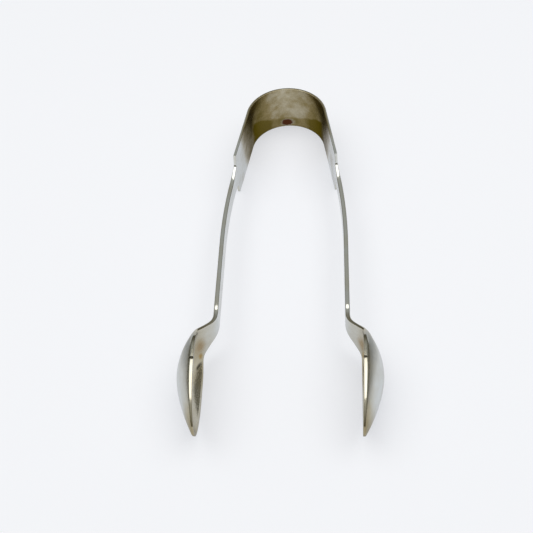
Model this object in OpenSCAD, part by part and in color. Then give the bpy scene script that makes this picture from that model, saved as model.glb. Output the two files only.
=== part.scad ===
// Spring-bow ice tongs, lying on edge.
// X is the spread of the arms, +Y runs towards the bow, +Z is up.
// The origin is the middle of the footprint, on the surface the tongs lie on.

/* [Bow] */
// Width of the spring band
bow_w = 18; // [14:0.5:20]
// Gauge of the spring band
bow_t = 0.95; // [0.7:0.05:1.3]
// Radius of the bend, to the middle of the band
bow_r = 13.85; // [11:0.05:17]
// Turn of the bend on each side of the crown, degrees
bow_turn = 80.5; // [76:0.5:85]
// Straight part of the band below the bend
leg_len = 22.5; // [16:0.5:28]

/* [Stems] */
// Width of a stem
stem_w = 6.1; // [5:0.1:8]
// Gauge of a stem
arm_t = 1.5; // [1.2:0.05:2]
// Length over which the shoulder narrows to the stem
shoulder_len = 8.5; // [6:0.5:12]
// Upper stem, which curves until both stems are parallel
upper_stem_len = 34; // [28:1:40]
// Turn of the upper stem, degrees
upper_stem_turn = 9.6; // [6:0.1:12]
// Straight lower stem
lower_stem_len = 29.2; // [24:0.2:36]

/* [Necks] */
// Radius of the bend from stem to crank
crank_top_r = 7; // [3:0.5:9]
// Outward turn of the crank, degrees
crank_turn = 36.8; // [25:0.2:50]
// Straight part of the crank
crank_len = 4.2; // [3:0.1:6]
// Radius of the bend from crank to bowl rim
crank_end_r = 4; // [3:0.5:8]

/* [Bowls] */
// Width of a bowl at its widest
bowl_w = 21; // [18:0.5:24]
// Rim length from the crank to the tip
rim_len = 30; // [26:0.1:34]
// Inward turn of the whole rim line, degrees
rim_turn = 3.4; // [0:0.2:5]
// Depth of the bowl below its rim, outside
bowl_depth = 5.1; // [4:0.1:7]
// Wall of the bowl at its deepest
bowl_wall = 1.1; // [0.9:0.05:1.5]
// Thickness of the rim edge, and of the neck where it meets the bowl
rim_t = 1; // [0.8:0.05:1.4]
// Thickness of the rim edge at the tip
tip_t = 0.6; // [0.5:0.05:1.2]
// Width of the flat land on the rim
rim_land = 0.7; // [0.5:0.05:1.2]

/* [Hidden] */
$fn = 96;

// distances along -Y
neck_lead = 1.4;      // the stem widens this far before the crank
hollow_lead = 3.7;    // the hollow begins this far before the rim line
hollow_full = 3.5;    // and has its full depth this far after the rim line starts
widest_after = 6.1;   // widest point of the bowl, from the start of the rim line
deepest_after = 10.5; // deepest point of the bowl, from the start of the rim line
// the tip ring stops just short of a point
tip_stop = 0.995;

// the shoulder is notched over this length, then the rest of it runs out slowly
notch_len = 1.2;
notch_share = 0.64;

// exponents of the outline
widen_power = 1.1;
tip_power = 2.9;
tip_round = 0.72;
keel_power = 1.8;
keel_round = 1.1;

// the stem draws in a little where the neck begins
waist_depth = 0.22;
waist_reach = 1.7;

edge_chamfer = 0.25;
slight_dish = 0.04;
// across a bowl, back and hollow curve this far to each side of the middle, degrees
section_turn = 60;

// path ------------------------------------------------------------
// A state is [x, y, heading]. Heading 0 is +X, and a turn lowers it.
function step(p, len, turn) = [
  p[0] + len * cos(p[2] - turn / 2),
  p[1] + len * sin(p[2] - turn / 2),
  p[2] - turn
];

// the n states along one stretch, after its start
function stretch(p, len, turn, n) = [
  for (i = 1, q = step(p, len / n, turn / n); i <= n; i = i + 1, q = step(q, len / n, turn / n)) q
];

function last(list) = list[len(list) - 1];
function arc_len(r, turn) = r * turn * PI / 180;

bend_end = [bow_r * sin(bow_turn), -bow_r * (1 - cos(bow_turn)), -bow_turn];
shoulder = step(bend_end, leg_len, 0);

upper_stem = stretch(shoulder, upper_stem_len, upper_stem_turn, 12);
lower_stem = stretch(last(upper_stem), lower_stem_len, 0, 6);
crank_top = stretch(last(lower_stem), arc_len(crank_top_r, crank_turn), -crank_turn, 6);
crank = stretch(last(crank_top), crank_len, 0, 4);
crank_end = stretch(last(crank), arc_len(crank_end_r, crank_turn), crank_turn, 6);
rim_line = stretch(last(crank_end), rim_len, rim_turn, 60);

// all states of the right arm, from shoulder to tip
arm_path = concat([shoulder], upper_stem, lower_stem, crank_top, crank, crank_end, rim_line);
arm_reach = shoulder[1] - last(arm_path)[1];
tip_down = arm_reach * tip_stop;
overall_len = bow_t / 2 - shoulder[1] + tip_down;
crown_y = overall_len / 2 - bow_t / 2;

// how far down the arm a state lies, along -Y from the shoulder line
function down(p) = shoulder[1] - p[1];

rim_start = down(last(crank_end));
stem_end = down(last(lower_stem));
neck_start = stem_end - neck_lead;
heel = (down(last(crank_top)) + down(last(crank))) / 2; // where arm and bowl meet
hollow_start = rim_start - hollow_lead;
hollow_end = rim_start + hollow_full;
widest = rim_start + widest_after;
deepest = rim_start + deepest_after;

// state at a given distance down the arm, between two path states
function state_at(d) =
  let (
    i = max([for (k = [0 : len(arm_path) - 2]) if (down(arm_path[k]) <= d) k]),
    a = arm_path[i],
    b = arm_path[i + 1]
  )
  a + (b - a) * (d - down(a)) / (down(b) - down(a));

// section sizes ---------------------------------------------------
function clamp01(u) = max(0, min(1, u));
function smooth(u) = u * u * (3 - 2 * u);
function fall(d, len) = pow(1 - clamp01(d / len), 2);

// half width of the arm or bowl at distance d down the arm
function half_w(d) =
  let (
    flare = notch_share * fall(d, notch_len) + (1 - notch_share) * fall(d, shoulder_len),
    open = smooth(pow(clamp01((d - neck_start) / (widest - neck_start)), widen_power)),
    waist = waist_depth * exp(-pow((d - neck_start) / waist_reach, 2)),
    tip = clamp01((d - widest) / (arm_reach - widest))
  )
  (stem_w / 2 + (bow_w - stem_w) / 2 * flare + (bowl_w - stem_w) / 2 * open - waist)
  * pow(1 - pow(tip, tip_power), tip_round);

// the arms rise a little, so that bow and bowls rest on the same surface
function mid_z(d) = bow_w / 2 + (bowl_w - bow_w) / 2 * d / widest;

// thickness of the strip: band gauge at the shoulder, then stem, rim and tip
function strip_t(d) =
  bow_t
  + (arm_t - bow_t) * smooth(clamp01(d / shoulder_len))
  + (rim_t - arm_t) * smooth(clamp01((d - stem_end) / (heel - stem_end)))
  + (tip_t - rim_t) * smooth(clamp01((d - deepest) / (arm_reach - deepest)));

// height of the back above the flat strip, which is never quite flat
function keel(d) =
  slight_dish + bowl_depth * (
    d < deepest
    ? 1 - pow(clamp01((deepest - d) / (deepest - heel)), 2)
    : pow(1 - pow(clamp01((d - deepest) / (arm_reach - deepest)), keel_power), keel_round)
  );

// depth of the hollow below the rim plane
function hollow(d) =
  slight_dish
  + max(0, keel(d) + strip_t(d) - bowl_wall)
  * smooth(clamp01((d - hollow_start) / (hollow_end - hollow_start)));

// width of the flat land between rim edge and hollow
function land(d) = min(rim_land, 0.35 * half_w(d));

// sections, as [outward, up] pairs around the strip's middle --------
function arm_section(d) =
  let (w = half_w(d), t = strip_t(d) / 2, c = edge_chamfer)
  [[t - c, -w], [t, c - w], [t, w - c], [t - c, w], [c - t, w], [-t, w - c], [-t, c - w], [c - t, -w]];

back_steps = 10;
hollow_steps = back_steps - 2;

// an arc of height k over a half width w, from -w to w in n steps, as [outward, up] pairs
function arc(k, w, n) = [
  for (i = [0 : n])
    let (a = section_turn * (2 * i / n - 1), c = cos(section_turn))
      [k * (cos(a) - c) / (1 - c), w * sin(a) / sin(section_turn)]
];

function bowl_section(d) =
  let (w = half_w(d), t = strip_t(d) / 2)
  concat(
    [for (q = arc(keel(d), w, back_steps)) [t + q[0], q[1]]],
    [[-t, w]],
    [for (q = arc(hollow(d), w - land(d), hollow_steps)) [q[0] - t, -q[1]]],
    [[-t, -w]]
  );

// a section's corner in space, for a state on the path
function place(p, d, c) = [p[0] - c[0] * sin(p[2]), p[1] + c[0] * cos(p[2]) + crown_y, mid_z(d) + c[1]];

// Solid through a list of rings. All rings have the same even number of corners,
// and corner j lies across the strip from corner m - 1 - j.
module skin(rings) {
  m = len(rings[0]);
  n = len(rings);
  points = [for (r = rings) each r];
  sides = [
    for (i = [0 : n - 2])
      for (j = [0 : m - 1])
        let (a = i * m + j, b = i * m + (j + 1) % m)
          each [[a, a + m, b], [b, a + m, b + m]]
  ];
  start_cap = [for (j = [0 : m / 2 - 2]) [j, j + 1, m - 2 - j, m - 1 - j]];
  end_cap = [for (j = [0 : m / 2 - 2]) [m - 1 - j, m - 2 - j, j + 1, j]];
  last_ring = (n - 1) * m;
  far_cap = [for (face = end_cap) [for (j = face) last_ring + j]];
  polyhedron(points = points, faces = concat(sides, start_cap, far_cap), convexity = 6);
}

// pieces ----------------------------------------------------------
module band_side() {
  rotate([0, 0, -bow_turn])
    translate([0, bow_r - bow_t / 2, 0])
      cube([leg_len, bow_t, bow_w]);
}

module bend() {
  rotate([0, 0, 90 - bow_turn])
    rotate_extrude(angle = 2 * bow_turn)
      translate([bow_r - bow_t / 2, 0])
        square([bow_t, bow_w]);
}

// the U-shaped spring band
module bow() {
  color([0.66, 0.62, 0.53])
    translate([0, crown_y - bow_r, 0])
      union() {
        bend();
        band_side();
        mirror([1, 0, 0]) band_side();
      }
}

// stations down the arm, closer together at the notch and around the neck
neck_near = neck_start - 3;
arm_stations = concat(
  [for (i = [0 : 5]) notch_len * i / 5],
  [for (i = [1 : 6]) notch_len + (shoulder_len - notch_len) * i / 6],
  [for (i = [1 : 9]) shoulder_len + (neck_near - shoulder_len) * i / 9],
  [for (i = [1 : 12]) neck_near + (heel - neck_near) * i / 12]
);

// stations down the bowl, closer together towards the tip
bowl_steps = 20;
bowl_stations = [
  for (i = [0 : bowl_steps])
    heel + (tip_down - heel) * sin(90 * i / bowl_steps)
];

module arm() {
  skin([for (d = arm_stations) [for (c = arm_section(d)) place(state_at(d), d, c)]]);
}

module bowl() {
  skin([for (d = bowl_stations) [for (c = bowl_section(d)) place(state_at(d), d, c)]]);
}

// shoulder, stem and neck in one forging
module right_arm() {
  color([0.68, 0.68, 0.64]) arm();
}

module left_arm() {
  color([0.68, 0.68, 0.64]) mirror([1, 0, 0]) arm();
}

// pressed spoon bowl
module right_bowl() {
  color([0.74, 0.74, 0.7]) bowl();
}

module left_bowl() {
  color([0.74, 0.74, 0.7]) mirror([1, 0, 0]) bowl();
}

bow();
left_arm();
right_arm();
left_bowl();
right_bowl();
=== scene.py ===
"""Looks of the spring-bow ice tongs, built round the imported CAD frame.

Sizes of the tongs are millimetres, as in the part's own source, and become metres when a
mesh is made. Camera, floor and light are in metres.
"""

import math

import bpy
import numpy as np
from mathutils import Matrix, Vector


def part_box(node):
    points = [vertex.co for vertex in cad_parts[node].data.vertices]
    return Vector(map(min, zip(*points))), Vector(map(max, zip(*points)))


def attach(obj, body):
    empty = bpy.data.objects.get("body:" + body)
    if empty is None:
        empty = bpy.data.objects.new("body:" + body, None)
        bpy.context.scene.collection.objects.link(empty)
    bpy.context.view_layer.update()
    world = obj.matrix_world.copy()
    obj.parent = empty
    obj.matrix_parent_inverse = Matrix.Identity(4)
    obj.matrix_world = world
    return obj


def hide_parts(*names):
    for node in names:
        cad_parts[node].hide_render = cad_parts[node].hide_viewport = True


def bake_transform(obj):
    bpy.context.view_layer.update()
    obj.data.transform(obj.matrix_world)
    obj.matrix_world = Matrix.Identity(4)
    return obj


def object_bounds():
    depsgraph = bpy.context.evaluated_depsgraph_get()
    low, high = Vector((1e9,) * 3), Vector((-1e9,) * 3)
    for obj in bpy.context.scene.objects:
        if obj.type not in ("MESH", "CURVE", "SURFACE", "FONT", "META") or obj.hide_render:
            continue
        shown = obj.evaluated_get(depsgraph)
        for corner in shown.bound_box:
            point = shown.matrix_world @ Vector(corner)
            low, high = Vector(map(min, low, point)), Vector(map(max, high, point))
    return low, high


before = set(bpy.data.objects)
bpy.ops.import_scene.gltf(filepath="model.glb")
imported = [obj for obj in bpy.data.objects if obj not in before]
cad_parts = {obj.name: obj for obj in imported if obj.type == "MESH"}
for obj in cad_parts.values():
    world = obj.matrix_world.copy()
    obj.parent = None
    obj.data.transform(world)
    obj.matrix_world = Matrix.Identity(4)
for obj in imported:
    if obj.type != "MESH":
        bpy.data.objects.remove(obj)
cad_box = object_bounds()
MM = 0.001

# --- camera ----------------------------------------------------------------

CAMERA_LENS = 60.8
CAMERA_DISTANCE = 0.2903
CAMERA_PITCH = 0.9059   # down from the horizon, radians
CAMERA_YAW = -0.1181    # from +Y towards +X
CAMERA_ROLL = -0.1058
AIM_OFFSET = Vector((-5.5, -7.3, -1.5)) * MM  # from the middle of the tongs


def make_camera():
    """The camera stands in front of the tips and looks down along the tongs."""
    low, high = cad_box
    aim = (Vector(low) + Vector(high)) / 2 + AIM_OFFSET
    level = math.cos(CAMERA_PITCH)
    forward = Vector((
        math.sin(CAMERA_YAW) * level,
        math.cos(CAMERA_YAW) * level,
        -math.sin(CAMERA_PITCH),
    ))
    right = Vector((math.cos(CAMERA_YAW), -math.sin(CAMERA_YAW), 0))
    up = right.cross(forward)
    rolled_right = math.cos(CAMERA_ROLL) * right + math.sin(CAMERA_ROLL) * up
    rolled_up = rolled_right.cross(forward)
    data = bpy.data.cameras.new("camera")
    data.lens = CAMERA_LENS
    data.sensor_width = 36
    data.clip_start = 0.01
    camera = bpy.data.objects.new("camera", data)
    axes = Matrix((rolled_right, rolled_up, -forward)).transposed()
    camera.matrix_world = Matrix.Translation(aim - forward * CAMERA_DISTANCE) @ axes.to_4x4()
    bpy.context.scene.collection.objects.link(camera)
    bpy.context.scene.camera = camera


make_camera()

# --- sizes -----------------------------------------------------------------

BOW_W = 18.0
BOW_T = 0.95
BOW_R = 13.85
BOW_TURN = math.radians(80.5)
LEG_LEN = 22.5
BAND_LEN = BOW_R * BOW_TURN + LEG_LEN      # from the crown to the shoulder

STEM_W = 6.1
ARM_T = 1.5
SHOULDER_LEN = 8.5
NOTCH_LEN = 1.2                            # most of the shoulder is notched away here
NOTCH_SHARE = 0.64
WAIST_DEPTH = 0.22                         # the stem draws in where the neck begins
WAIST_REACH = 1.7
CRANK_TURN = math.radians(36.8)
CRANK_TOP_R = 7.0
CRANK_END_R = 4.0
STRETCHES = (                              # length and inward turn, from shoulder to tip
    (34.0, math.radians(9.6)),
    (29.2, 0.0),
    (CRANK_TOP_R * CRANK_TURN, -CRANK_TURN),
    (4.2, 0.0),
    (CRANK_END_R * CRANK_TURN, CRANK_TURN),
    (30.0, math.radians(3.4)),
)

NECK_LEAD = 1.4                            # the stem widens this far before the crank
HOLLOW_LEAD = 3.7                          # the hollow begins this far before the rim line
HOLLOW_FULL = 3.5                          # and is at full depth this far down the rim line
WIDEST_AFTER = 6.1                         # down the rim line
DEEPEST_AFTER = 10.5
TIP_STOP = 0.995                           # the tip ring stops just short of a point
WIDEN_POWER = 1.1                          # exponents of the outline
TIP_POWER = 2.9
TIP_FALL = 0.72
KEEL_POWER = 1.8
KEEL_ROUND = 1.1

BOWL_W = 21.0
BOWL_DEPTH = 5.1
BOWL_WALL = 1.1
RIM_T = 1.0
TIP_T = 0.6
RIM_LAND = 0.7
SECTION_TURN = math.radians(60)            # back and hollow curve this far each way

BOW_EDGE = 0.25                            # rounding of the edges
STEM_EDGE = 0.5
RIM_EDGE = 0.2
EDGE_PER_GAUGE = 0.7                       # most rounding, as a share of half the gauge
EDGE_PER_WIDTH = 0.3                       # and of half the width
LAND_PER_WIDTH = 0.35                      # widest flat land, as a share of half the width
BOW_LAND = 0.8
TIP_ROUND = 1.2
TIP_BLUNT = 0.985                          # 1 would end the tip in a point

CROWN_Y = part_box("bow")[1][1] / MM - BOW_T / 2   # middle of the band at the crown
MESH_STEP = 0.55                                 # usual distance between rings
SEAM_STEP = 0.02                                 # first ring beside a seam
STEPS = 60                                       # path points in one stretch
NOTCH_RINGS = 13
BOWL_RINGS = 110
FACE_POINTS = 33                                 # points across one face of a section
LAND_POINTS = 3
CORNER_POINTS = 6


# --- the path of one arm ----------------------------------------------------

def stretch(state, length, turn, n):
    """n states after the given one, along an arc; a state is x, y, heading."""
    states = []
    x, y, heading = state
    for _ in range(n):
        middle = heading - turn / n / 2
        x += length / n * math.cos(middle)
        y += length / n * math.sin(middle)
        heading -= turn / n
        states.append((x, y, heading))
    return states


def trace_arm():
    """Rows of x, y, heading and distance down the arm, from shoulder to tip."""
    bend_end = (BOW_R * math.sin(BOW_TURN), -BOW_R * (1 - math.cos(BOW_TURN)), -BOW_TURN)
    states = stretch(bend_end, LEG_LEN, 0, 1)
    for length, turn in STRETCHES:
        states += stretch(states[-1], length, turn, STEPS)
    rows = np.array(states)
    down = rows[0, 1] - rows[:, 1]
    return np.column_stack([rows, down])


ARM = trace_arm()
STEM_END, CRANK_START, CRANK_STOP, RIM_START, REACH = ARM[2 * STEPS::STEPS, 3]
NECK_START = STEM_END - NECK_LEAD
HEEL = (CRANK_START + CRANK_STOP) / 2
HOLLOW_START = RIM_START - HOLLOW_LEAD
HOLLOW_END = RIM_START + HOLLOW_FULL
WIDEST = RIM_START + WIDEST_AFTER
DEEPEST = RIM_START + DEEPEST_AFTER
TIP = REACH * TIP_STOP


def along_arm(d):
    """x, y and heading at distance d down the arm."""
    return [np.interp(d, ARM[:, 3], ARM[:, i]) for i in range(3)]


def along_bow(s):
    """x, y and heading at distance s from the crown, along the band."""
    bend = BOW_R * BOW_TURN
    a = np.minimum(s, bend) / BOW_R
    beyond = np.maximum(s - bend, 0)
    x = BOW_R * np.sin(a) + beyond * np.cos(a)
    y = -BOW_R * (1 - np.cos(a)) - beyond * np.sin(a)
    return x, y, -a


# --- sections ---------------------------------------------------------------

def clamp(u):
    """Held between 0 and 1."""
    return np.clip(u, 0.0, 1.0)


def ease(value, start, end):
    """0 before start, 1 after end, smooth between."""
    u = clamp((value - start) / (end - start))
    return u * u * (3 - 2 * u)


def rounded_end(d, length):
    """1 along the bowl, falling almost to 0 over the last part of the tip."""
    return math.sqrt(1 - TIP_BLUNT * clamp((d - TIP + length) / length) ** 2)


def half_width(d):
    """Half width of the arm or bowl at distance d down the arm."""
    notch = (1 - clamp(d / NOTCH_LEN)) ** 2
    run_out = (1 - clamp(d / SHOULDER_LEN)) ** 2
    flare = NOTCH_SHARE * notch + (1 - NOTCH_SHARE) * run_out
    opening = ease(clamp((d - NECK_START) / (WIDEST - NECK_START)) ** WIDEN_POWER, 0, 1)
    tip = clamp((d - WIDEST) / (REACH - WIDEST))
    waist = WAIST_DEPTH * math.exp(-((d - NECK_START) / WAIST_REACH) ** 2)
    wide = STEM_W / 2 + (BOW_W - STEM_W) / 2 * flare + (BOWL_W - STEM_W) / 2 * opening - waist
    return wide * (1 - tip ** TIP_POWER) ** TIP_FALL * rounded_end(d, TIP_ROUND)


def middle_z(d):
    """The arms rise a little, because the bowls are wider than the bow."""
    return BOW_W / 2 + (BOWL_W - BOW_W) / 2 * d / WIDEST


def thickness(d):
    """Gauge of the strip: thin in the bow, full in the stem, thinner along the rim."""
    stem = BOW_T + (ARM_T - BOW_T) * ease(d, 0, SHOULDER_LEN)
    rim = (RIM_T - ARM_T) * ease(d, STEM_END, HEEL)
    tip = (TIP_T - RIM_T) * ease(d, DEEPEST, REACH)
    return (stem + rim + tip) * rounded_end(d, TIP_T / 2)


def edge_rounding(d):
    """Rounding of the edges: small at the bow, full on the stem, small on the rim."""
    stem = BOW_EDGE + (STEM_EDGE - BOW_EDGE) * ease(d, 0, SHOULDER_LEN)
    return stem + (RIM_EDGE - STEM_EDGE) * ease(d, HEEL, RIM_START)


def keel(d):
    """Height of the bowl's back above the strip."""
    if d < DEEPEST:
        return BOWL_DEPTH * (1 - clamp((DEEPEST - d) / (DEEPEST - HEEL)) ** 2)
    after = clamp((d - DEEPEST) / (REACH - DEEPEST))
    return BOWL_DEPTH * (1 - after ** KEEL_POWER) ** KEEL_ROUND


def hollow(d):
    """Depth of the hollow below the rim plane."""
    room = max(0, keel(d) + thickness(d) - BOWL_WALL)
    return room * ease(d, HOLLOW_START, HOLLOW_END)


def arc(height, w, reach, n):
    """n points of an arc of given height over half width w, from -reach to reach."""
    end = math.asin(math.sin(SECTION_TURN) * reach / w)
    a = np.linspace(-end, end, n)
    rise = height * (np.cos(a) - math.cos(SECTION_TURN)) / (1 - math.cos(SECTION_TURN))
    return np.column_stack([rise, w * np.sin(a) / math.sin(SECTION_TURN)])


def rounded_corner(start, point, end):
    """Points after start, round a corner at point, as far as end."""
    u = np.linspace(0, 1, CORNER_POINTS + 1)[1:, None]
    ends = [np.array(p)[None, :] for p in (start, point, end)]
    return (1 - u) ** 2 * ends[0] + 2 * u * (1 - u) * ends[1] + u * u * ends[2]


def section(w, t, back, dish, land, r):
    """A closed ring of (outward, up) points round a strip of half width w and half gauge t.

    back is how far the outside stands up, dish how far the inside is hollowed out, and
    r the rounding of the edges. The first half of the ring is the outside, from the lower
    rim to the upper, and point j lies across the wall from point -1 - j.
    """
    outside = arc(back, w, w - r, FACE_POINTS) + (t, 0)
    upper = rounded_corner(outside[-1], (t, w), (t - r, w))
    lower = (upper * (1, -1))[::-1]
    v = w - land
    bowl = arc(dish, v, v, FACE_POINTS - 2 * LAND_POINTS) - (t, 0)
    heights = np.linspace(w - r, v, LAND_POINTS + 1)[:-1]
    upper_land = np.column_stack([np.full(LAND_POINTS, -t), heights])
    lower_land = (upper_land * (1, -1))[::-1]
    inner = rounded_corner((-t, w - r), (-t, w), (r - t, w))[::-1]
    parts = (lower, outside, upper, inner, upper_land, bowl[::-1], lower_land, (inner * (1, -1))[::-1])
    return np.concatenate(parts)


def place(x, y, heading, z, ring):
    """A section's points in the row frame, in millimetres."""
    return np.column_stack([
        x - ring[:, 0] * np.sin(heading),
        y + ring[:, 0] * np.cos(heading) + CROWN_Y,
        z + ring[:, 1],
    ])


def spaced(start, end):
    """Stations from start to end, with one very close to each end so that seams shade as one."""
    inner = np.linspace(start, end, round((end - start) / MESH_STEP) + 1)[1:-1]
    return np.concatenate([[start, start + SEAM_STEP], inner, [end - SEAM_STEP, end]])


# --- meshes -----------------------------------------------------------------

def skin(name, rings, mirror, values):
    """A closed mesh through rings of equal length, with named point attributes."""
    plan = np.array(rings)
    n, m = plan.shape[:2]
    plan = plan.reshape(-1, 3)
    points = plan * (-1 if mirror else 1, 1, 1)
    faces = []
    for i in range(n - 1):
        for j in range(m):
            k = (j + 1) % m
            faces.append((i * m + j, (i + 1) * m + j, (i + 1) * m + k, i * m + k))
    sides = len(faces)
    for start, flip in ((0, False), ((n - 1) * m, True)):
        for j in range(m // 2 - 1):
            cap = (start + j, start + j + 1, start + m - 2 - j, start + m - 1 - j)
            faces.append(cap[::-1] if flip else cap)
    if not mirror:
        faces = [face[::-1] for face in faces]
    mesh = bpy.data.meshes.new(name)
    mesh.from_pydata([tuple(p) for p in points * MM], [], faces)
    mesh.polygons.foreach_set("use_smooth", [i < sides for i in range(len(faces))])
    end_points = set(range(m)) | set(range((n - 1) * m, n * m))
    sharp = [set(e.vertices) <= end_points for e in mesh.edges]
    mesh.attributes.new("sharp_edge", "BOOLEAN", "EDGE").data.foreach_set("value", sharp)
    for key, value in (("rest", points), ("plan", plan)):
        data = mesh.attributes.new(key, "FLOAT_VECTOR", "POINT").data
        data.foreach_set("vector", (value * MM).ravel().astype(np.float32))
    for key, value in values.items():
        data = mesh.attributes.new(key, "FLOAT", "POINT").data
        data.foreach_set("value", np.array(value).ravel().astype(np.float32))
    mesh.validate()
    obj = bpy.data.objects.new(name, mesh)
    bpy.context.scene.collection.objects.link(obj)
    return obj


# Tone runs from 0, clean, to 1, dark: tarnish, with painted shade and painted reflections
# added in places. Distances are along the band from the crown, and down the arm on arms and bowls.
CROWN_TONE = 0.54                          # inside of the bow
LEG_TONE = 0.02
LEG_CLEAN = {"left": 34, "right": 32.5}    # each leg is clean from here on, in mid height
LEG_SLANT = 2.5                            # and this much further on at its upper edge
LEG_FADE = 6                               # the tone fades over this length
BEND_SHADE_TONE = 0.28                           # painted shade, added inside each bend
BEND_SHADE_START = (5, 12)
BEND_SHADE_FADE = (10, 4)                        # before the leg is clean
SHADOW_BAND_TOP = 4                               # painted reflection of the contact shadow: a darker band runs low down across the crown
SHADOW_BAND_RISE = 0.02                           # its top rises with the square of the distance
SHADOW_BAND_BLUR = 0.5
SHADOW_BAND_TONE = (0.22, 0.36)                   # added at the crown, and beyond it
SHADOW_BAND_DARKENS = (4, 10)
SHADOW_BAND_END = (13, 20)
BOW_BACK_TONE = (0.4, 0.1)                 # outside of the crown and of the legs
BOW_BACK_FADE = (6, 28)

STEM_TONE = 0.02
HEEL_TONE = 0.2
HEEL_FADE = 5
HOLLOW_TONE = 0.06                         # added in the hollow
HOLLOW_HEEL_TONE = 0.12                    # and added again towards the heel
HOLLOW_TIP_TONE = 0.25
TIP_TONED = 9                              # this much of the tip is toned
BACK_TONE = 0.03
BACK_TIP_TONE = 0.4
RIM_REFLECTION_TONE = (0.22, 0.14)                    # painted dark reflection, added on the back beside the rim: heel and tip
RIM_REFLECTION_FROM = 0.4                        # from this share of the half width
RIM_REFLECTION_FADE = 6                          # it fades until this far past the deepest point
EDGE_POLISH = (0.4, 0.2)                   # beside an edge a face turns from dull to bright
FACE_DULL = 0.2                            # wiped faces are a little dull
BACK_DULL = 1.0
BOW_DULL = 0.1

WEAR_WIDTH = 0.6                           # bright wear along the edges
BOW_WEAR = 0.3
ARM_WEAR = 0.7
TIP_UNWORN = 8                             # the wear fades over this much of the tip
BLEND_SHARE = 0.86                         # a share of the band's length; the place along the band it gives is not used


def between(pair, share):
    """From the first of a pair to the second."""
    first, second = pair
    return first + (second - first) * share


def inside_of(ring):
    """1 on the inner face's points, 0 on the outer face's."""
    flags = np.zeros(len(ring))
    flags[len(ring) // 2:] = 1
    return flags


def edge_wear(ring, w):
    """1 at the edges of a strip, falling to 0 within the wear's width."""
    return clamp(1 - (w - np.abs(ring[:, 1])) / WEAR_WIDTH) ** 2


def bow_toning(s, ring, side):
    """Tone of a ring's points: brown painted shade in the bends, with a darker band low across the
    crown, a painted reflection of the contact shadow.
    """
    height = ring[:, 1] + BOW_W / 2
    clean = LEG_CLEAN[side] + LEG_SLANT * ring[:, 1] / (BOW_W / 2)
    bend_from, bend_to = BEND_SHADE_FADE
    # painted shade that darkens the inside of each bend
    bend = ease(s, *BEND_SHADE_START) * (1 - ease(s, clean - bend_from, clean - bend_to))
    face = between((CROWN_TONE, LEG_TONE), ease(s, clean - LEG_FADE, clean)) + BEND_SHADE_TONE * bend
    shadow_band_top = SHADOW_BAND_TOP + SHADOW_BAND_RISE * s * s
    above = ease(height, shadow_band_top - SHADOW_BAND_BLUR, shadow_band_top + SHADOW_BAND_BLUR)
    # painted reflection of the contact shadow, darker low across the crown
    band = (1 - above) * (1 - ease(s, *SHADOW_BAND_END))
    shadow_band_tone = between(SHADOW_BAND_TONE, ease(s, *SHADOW_BAND_DARKENS))
    back = between(BOW_BACK_TONE, ease(s, *BOW_BACK_FADE))
    inside = inside_of(ring)
    return inside * (face + shadow_band_tone * band) + (1 - inside) * back


def make_bow_half(side):
    """Half of the spring band. The halves meet at the crown."""
    rings, tone, wear, dull = [], [], [], []
    for s in spaced(0, BAND_LEN):
        x, y, heading = along_bow(s)
        ring = section(BOW_W / 2, BOW_T / 2, 0, 0, BOW_LAND, BOW_EDGE)
        rings.append(place(x, y, heading, BOW_W / 2, ring))
        tone.append(bow_toning(s, ring, side))
        wear.append(BOW_WEAR * edge_wear(ring, BOW_W / 2))
        dull.append(BOW_DULL * inside_of(ring))
    mirror = side == "left"
    obj = skin(f"bow_{side}_half", rings, mirror, {"tone": tone, "wear": wear, "dull": dull})
    x, y, _ = along_bow(BLEND_SHARE * BAND_LEN)
    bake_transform(obj)
    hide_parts("bow")
    return obj


def arm_part(name, stations, mirror, toning):
    """Rings from the shared formulas; toning gives tone and dullness inside and outside."""
    rings, tone, wear, dull = [], [], [], []
    for d in stations:
        w = half_width(d)
        t = thickness(d) / 2
        r = min(edge_rounding(d), EDGE_PER_GAUGE * t, EDGE_PER_WIDTH * w)
        land = min(r + RIM_LAND, LAND_PER_WIDTH * w)
        ring = section(w, t, keel(d), hollow(d), land, r)
        x, y, heading = along_arm(d)
        rings.append(place(x, y, heading, middle_z(d), ring))
        inside = inside_of(ring)
        (tone_in, dull_in), (tone_out, dull_out) = toning(d)
        from_middle = np.abs(ring[:, 1])
        # painted dark reflection on the back, beside the rim
        rim = ease(from_middle / w, RIM_REFLECTION_FROM, 1.0) * ease(d, HEEL, RIM_START)
        rim_reflection_tone = between(RIM_REFLECTION_TONE, ease(d, WIDEST, DEEPEST + RIM_REFLECTION_FADE))
        tone.append(inside * tone_in + (1 - inside) * (tone_out + rim_reflection_tone * rim))
        polish_from, polish_to = EDGE_POLISH
        face = 1 - ease(from_middle, w - polish_from, w - polish_to)
        dull.append(face * (inside * dull_in + (1 - inside) * dull_out))
        wear.append(ARM_WEAR * (1 - ease(d, TIP - TIP_UNWORN, TIP)) * edge_wear(ring, w))
    return skin(name, rings, mirror, {"tone": tone, "wear": wear, "dull": dull})


def arm_toning(d):
    """Tone and dullness of the inner face, then of the outer face."""
    neck = ease(d, STEM_END, HEEL)
    return (between((STEM_TONE, HEEL_TONE), neck), FACE_DULL * neck), (BACK_TONE, FACE_DULL)


def bowl_toning(d):
    """Tone and dullness of the hollow, then of the back."""
    past_heel = ease(d, HEEL, HEEL + HEEL_FADE)
    near_heel = 1 - ease(d, WIDEST, DEEPEST)
    tip = ease(d, TIP - TIP_TONED, TIP)
    deep = past_heel * (HOLLOW_TONE + HOLLOW_HEEL_TONE * near_heel)
    face = HEEL_TONE + deep + HOLLOW_TIP_TONE * tip
    back_dull = between((FACE_DULL, BACK_DULL), past_heel)
    return (face, FACE_DULL), (BACK_TONE + BACK_TIP_TONE * tip, back_dull)


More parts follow.
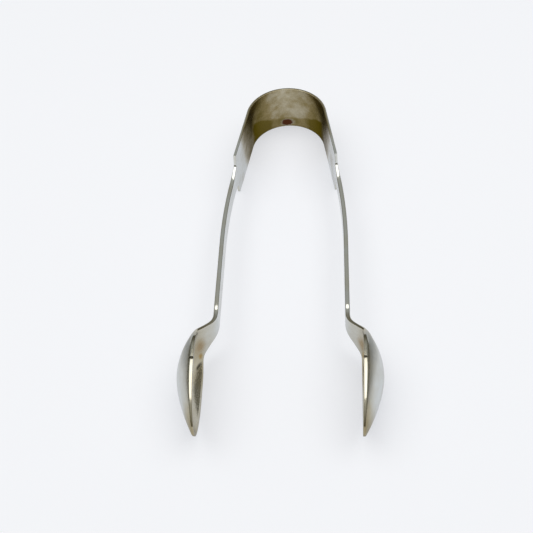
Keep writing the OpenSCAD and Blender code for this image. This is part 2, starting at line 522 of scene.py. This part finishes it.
def make_arm(side, body):
    """Shoulder, stem and neck, with rings closer together at the notch."""
    notch = np.linspace(0, NOTCH_LEN, NOTCH_RINGS)[1:-1]
    stations = np.concatenate([[0, SEAM_STEP], notch, spaced(NOTCH_LEN, HEEL)])
    obj = arm_part(f"{side}_arm_forging", stations, side == "left", arm_toning)
    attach(obj, body)
    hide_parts(f"{side}_arm")
    return obj


def make_bowl(side, body):
    """Spoon bowl, from the heel to the tip, with rings closer together at the tip."""
    fine = HEEL + (TIP - HEEL) * np.sin(np.linspace(0, math.pi / 2, BOWL_RINGS))
    stations = np.insert(fine, 1, HEEL + SEAM_STEP)
    obj = arm_part(f"{side}_spoon_bowl", stations, side == "left", bowl_toning)
    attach(obj, body)
    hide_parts(f"{side}_bowl")
    return obj


# --- materials --------------------------------------------------------------

class Nodes:
    """Short calls for building one node tree."""

    def __init__(self, tree):
        self.tree = tree

    def add(self, kind, **settings):
        node = self.tree.nodes.new(kind)
        for key, value in settings.items():
            setattr(node, key, value)
        return node

    def link(self, source, target):
        self.tree.links.new(source, target)

    def attribute(self, name, output="Fac"):
        return self.add("ShaderNodeAttribute", attribute_name=name).outputs[output]

    def fill(self, socket, value):
        """A constant goes on the socket itself; anything else is linked."""
        if isinstance(value, (int, float, tuple)):
            socket.default_value = value
        else:
            self.link(value, socket)

    def math(self, operation, a, b=0.0, clamped=False):
        node = self.add("ShaderNodeMath", operation=operation, use_clamp=clamped)
        self.fill(node.inputs[0], a)
        self.fill(node.inputs[1], b)
        return node.outputs[0]

    def total(self, *terms, clamped=False):
        """Sum of terms; a pair is a value and its factor."""
        result = 0.0
        for term in terms:
            if isinstance(term, tuple):
                term = self.math("MULTIPLY", *term)
            result = self.math("ADD", result, term)
        return self.math("ADD", result, 0.0, clamped)

    def vector_math(self, operation, a, b=(0.0, 0.0, 0.0), output="Vector"):
        node = self.add("ShaderNodeVectorMath", operation=operation)
        self.fill(node.inputs[0], a)
        self.fill(node.inputs[1], b)
        return node.outputs[output]

    def noise(self, vector, scales, detail=3.0, turn=(0.0, 0.0, 0.0)):
        """Noise about 0, from -0.5 to 0.5; scales are waves per metre along each axis."""
        mapping = self.add("ShaderNodeMapping")
        mapping.inputs["Scale"].default_value = scales
        mapping.inputs["Rotation"].default_value = turn
        self.link(vector, mapping.inputs["Vector"])
        node = self.add("ShaderNodeTexNoise")
        node.inputs["Scale"].default_value = 1.0
        node.inputs["Detail"].default_value = detail
        self.link(mapping.outputs[0], node.inputs["Vector"])
        return self.math("SUBTRACT", node.outputs["Fac"], 0.5)

    def ramp(self, value, stops):
        node = self.add("ShaderNodeValToRGB")
        elements = node.color_ramp.elements
        while len(elements) < len(stops):
            elements.new(0.5)
        for element, (position, colour) in zip(elements, stops):
            element.position = position
            element.color = (*colour, 1)
        self.link(value, node.inputs["Fac"])
        return node.outputs["Color"]

    def mix(self, amount, a, b):
        node = self.add("ShaderNodeMix", data_type="RGBA")
        self.fill(node.inputs["Factor"], amount)
        self.fill(node.inputs[6], a)
        self.fill(node.inputs[7], b)
        return node.outputs[2]

    def band(self, value, low, high):
        """0 below low, 1 above high, smooth between."""
        node = self.add("ShaderNodeMapRange", interpolation_type="SMOOTHSTEP")
        node.inputs["From Min"].default_value = low
        node.inputs["From Max"].default_value = high
        self.link(value, node.inputs["Value"])
        return node.outputs[0]


CLEAN = (0.65, 0.675, 0.67)
YELLOWED = (0.48, 0.44, 0.33)
BROWNED = (0.27, 0.215, 0.10)
DARKENED = (0.14, 0.107, 0.024)
WORN = (0.60, 0.555, 0.445, 1.0)
GRAZING = 0.88                             # tint of clean metal seen at a low angle

RED_BROWN = (0.085, 0.028, 0.012, 1.0)
PALE_RING = (0.42, 0.39, 0.31, 1.0)
PAINTED_GLINT_GOLD = (0.37, 0.26, 0.10, 1.0)
HEEL_BROWN = (0.36, 0.275, 0.16, 1.0)
REFLECTION_GREY = (0.34, 0.35, 0.33, 1.0)
PAINTED_DARK = (0.05, 0.045, 0.03, 1.0)
MARK_EDGE = 1.05                          # a mark ends here, in shares of its reach


def plated_metal(name, mottle, base_roughness, marks, marks_on="plan"):
    """Polished plate, toned by tarnish and by painted shade, with fine scratches and bright worn
    edges.

    marks are stains, painted highlights and painted dark reflections: middle and radii in metres,
    colour, and softness of the edge. Marks on the plan stand on both sides alike; marks on rest stand
    in one place.
    """
    material = bpy.data.materials.new(name)
    material.use_nodes = True
    tree = material.node_tree
    tree.nodes.clear()
    n = Nodes(tree)
    rest = n.attribute("rest", "Vector")
    mark_place = n.attribute(marks_on, "Vector")
    wear = n.attribute("wear")

    cloud = n.noise(rest, (150.0, 150.0, 150.0), 4.0)
    streak = n.noise(rest, (420.0, 130.0, 420.0), 3.0)
    speck = n.noise(rest, (1100.0, 1100.0, 1100.0), 3.0)
    wiped = n.noise(rest, (60.0, 60.0, 60.0), 2.0)
    toned = n.total(
        n.attribute("tone"),
        (cloud, mottle),
        (streak, mottle * 0.8),
        (speck, mottle * 0.3),
        (wiped, mottle * 0.5),
        clamped=True,
    )
    colour = n.ramp(toned, [(0.0, CLEAN), (0.35, YELLOWED), (0.68, BROWNED), (1.0, DARKENED)])
    rubbed = n.math("MULTIPLY", wear, n.total(0.55, (cloud, 1.6), clamped=True))
    colour = n.mix(rubbed, colour, WORN)
    for middle, reach, mark_colour, softness in marks:
        shaped = n.vector_math("DIVIDE", n.vector_math("SUBTRACT", mark_place, middle), reach)
        away = n.total(n.vector_math("LENGTH", shaped, output="Value"), (speck, 0.6), (cloud, 0.6))
        inside = n.math("SUBTRACT", 1.0, n.band(away, 1 - softness, MARK_EDGE))
        colour = n.mix(inside, colour, mark_colour)

    along = n.noise(rest, (5200.0, 240.0, 5200.0), 2.0, (0.1, 0.0, 0.12))
    across = n.noise(rest, (3800.0, 900.0, 420.0), 2.0, (0.5, 0.3, 0.9))
    scratches = n.math("MAXIMUM", n.band(along, 0.1, 0.2), n.band(across, 0.14, 0.22))
    rough = n.total(
        base_roughness,
        (toned, 0.1),
        (n.attribute("dull"), 0.16),
        (wear, -0.12),
        (scratches, 0.08),
        (cloud, 0.12),
        (speck, 0.08),
        clamped=True,
    )
    height = n.total(n.noise(rest, (260.0, 200.0, 260.0), 2.0), (speck, 0.05), (scratches, -0.03))
    bump = n.add("ShaderNodeBump")
    bump.inputs["Strength"].default_value = 0.24
    bump.inputs["Distance"].default_value = 0.00018
    n.link(height, bump.inputs["Height"])

    shader = n.add("ShaderNodeBsdfPrincipled")
    shader.inputs["Metallic"].default_value = 1.0
    n.link(n.total(GRAZING, (toned, -0.5), clamped=True), shader.inputs["Specular Tint"])
    n.link(colour, shader.inputs["Base Color"])
    n.link(rough, shader.inputs["Roughness"])
    n.link(bump.outputs[0], shader.inputs["Normal"])
    output = n.add("ShaderNodeOutputMaterial")
    n.link(shader.outputs[0], output.inputs["Surface"])
    return material


def rim_point(d, level, out=0.0):
    """A place at or outside the rim line; level runs from -1, lower rim, to 1, upper rim."""
    x, y, _ = along_arm(d)
    return ((x + out) * MM, (y + CROWN_Y) * MM, (middle_z(d) + level * half_width(d)) * MM)


def radii(x, y, z):
    """Reach of a stain along each axis, in metres."""
    return (x * MM, y * MM, z * MM)


# --- the object -------------------------------------------------------------

spot = (-0.8 * MM, (CROWN_Y - BOW_T / 2) * MM, 2.15 * MM)
BOW_MARKS = (                              # one spot and its pale ring, inside the crown
    (spot, radii(3.6, 0.75, 2.3), PALE_RING, 0.6),
    (spot, radii(2.6, 0.75, 1.8), RED_BROWN, 0.3),
)
# painted dark reflection on the back of the bowl, beside the upper rim
BACK_DARK_REFLECTION = (rim_point(HEEL + 9.0, 0.85, 1.4), radii(3.4, 9.5, 4.2), REFLECTION_GREY, 0.95)
HEEL_STAIN = (rim_point(HEEL + 3.0, -0.15), radii(2.8, 4.2, 4.8), HEEL_BROWN, 0.95)
BOWL_MARKS = (
    BACK_DARK_REFLECTION,
    HEEL_STAIN,
    # painted highlight: a gold glint at the heel, by the lower rim
    (rim_point(HEEL + 4.0, -0.66), radii(1.3, 1.2, 1.5), PAINTED_GLINT_GOLD, 0.8),
    # painted dark reflections: one past the heel by the lower rim, one at the upper rim
    (rim_point(HEEL + 6.6, -0.74), radii(2.2, 2.2, 0.8), PAINTED_DARK, 0.8),
    (rim_point(WIDEST + 4.2, 1.0), radii(0.9, 0.6, 0.8), PAINTED_DARK, 0.5),
)

bow_metal = plated_metal("bow_metal", 0.5, 0.17, BOW_MARKS, marks_on="rest")
arm_metal = plated_metal("arm_metal", 0.2, 0.16, (HEEL_STAIN,))
bowl_metal = plated_metal("bowl_metal", 0.2, 0.17, BOWL_MARKS)

for side in ("left", "right"):
    body = f"{side}_side"
    make_bow_half(side).data.materials.append(bow_metal)
    make_arm(side, body).data.materials.append(arm_metal)
    make_bowl(side, body).data.materials.append(bowl_metal)

# --- floor and light --------------------------------------------------------

FLOOR_SIZE = 1.6
FLOOR_COLOUR = (0.52, 0.525, 0.54, 1.0)
FLOOR_GLOW = (0.43, 0.44, 0.475, 1.0)
LIGHT_HEIGHT = 0.7
LIGHT_MIDDLE = 0.015
LIGHT_SIZE = (1.3, 0.69)
LIGHT_POWER = 3.9
LIGHT_COLOUR = (1.0, 0.985, 0.95)
WORLD_COLOURS = (                        # by height of the direction, 0 at the horizon
    (0.0, (0.12, 0.11, 0.075)),
    (0.32, (0.22, 0.21, 0.17)),
    (0.6, (0.40, 0.41, 0.39)),
    (0.84, (0.45, 0.46, 0.44)),
    (0.95, (0.75, 0.74, 0.71)),
)


def make_floor():
    """A plain pale floor, which glows a little so that it stays even."""
    mesh = bpy.data.meshes.new("floor")
    h = FLOOR_SIZE / 2
    mesh.from_pydata([(-h, -h, 0), (h, -h, 0), (h, h, 0), (-h, h, 0)], [], [(0, 1, 2, 3)])
    floor = bpy.data.objects.new("floor", mesh)
    bpy.context.scene.collection.objects.link(floor)
    material = bpy.data.materials.new("floor")
    material.use_nodes = True
    shader = material.node_tree.nodes["Principled BSDF"]
    shader.inputs["Base Color"].default_value = FLOOR_COLOUR
    shader.inputs["Roughness"].default_value = 0.9
    shader.inputs["Specular IOR Level"].default_value = 0.0
    shader.inputs["Emission Color"].default_value = FLOOR_GLOW
    shader.inputs["Emission Strength"].default_value = 1.0
    mesh.materials.append(material)


def make_overhead():
    """One large softbox, level above the tongs."""
    data = bpy.data.lights.new("overhead", "AREA")
    data.shape = "RECTANGLE"
    data.size, data.size_y = LIGHT_SIZE
    data.energy = LIGHT_POWER
    data.color = LIGHT_COLOUR
    light = bpy.data.objects.new("overhead", data)
    light.location = (0, LIGHT_MIDDLE, LIGHT_HEIGHT)
    bpy.context.scene.collection.objects.link(light)


def make_world():
    """Dark olive at the horizon, mid grey above it."""
    world = bpy.data.worlds.new("studio")
    bpy.context.scene.world = world
    world.use_nodes = True
    world.node_tree.nodes.clear()
    n = Nodes(world.node_tree)
    direction = n.add("ShaderNodeTexCoord").outputs["Generated"]
    split = n.add("ShaderNodeSeparateXYZ")
    n.link(direction, split.inputs[0])
    background = n.add("ShaderNodeBackground")
    n.link(n.ramp(split.outputs["Z"], WORLD_COLOURS), background.inputs["Color"])
    output = n.add("ShaderNodeOutputWorld")
    n.link(background.outputs[0], output.inputs["Surface"])


make_floor()
make_world()
make_overhead()
bpy.context.scene.view_settings.view_transform = "Standard"
